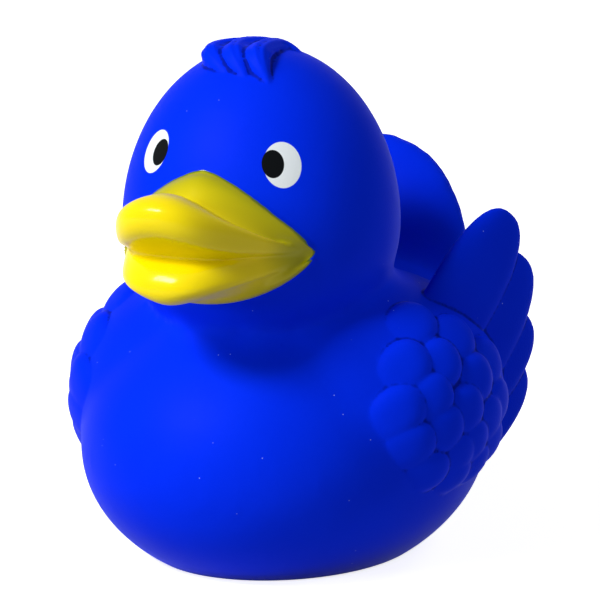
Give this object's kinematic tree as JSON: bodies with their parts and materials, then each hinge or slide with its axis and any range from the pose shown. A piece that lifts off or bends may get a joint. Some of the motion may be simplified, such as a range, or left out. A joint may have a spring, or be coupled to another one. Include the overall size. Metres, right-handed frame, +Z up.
{
  "type": "rubber duck",
  "caption": "Blue vinyl bath duck with a yellow bill, painted eyes, raised wings of overlapping feathers and an upturned tail, hollow, with a squeaker in its flat base.",
  "frame": {"origin": "centre of the bounding box at its base, on the surface that the duck stands on", "axes": "+Z up, -Y the way the duck faces, +X towards the duck's left side"},
  "size_m": [0.066, 0.08, 0.0759],
  "materials": {
    "blue_vinyl": "matte",
    "squeaker_plastic": "satin"
  },
  "bodies": {
    "root": {"duck_shell": "blue_vinyl", "squeaker": "squeaker_plastic"}
  },
  "joints": []
}
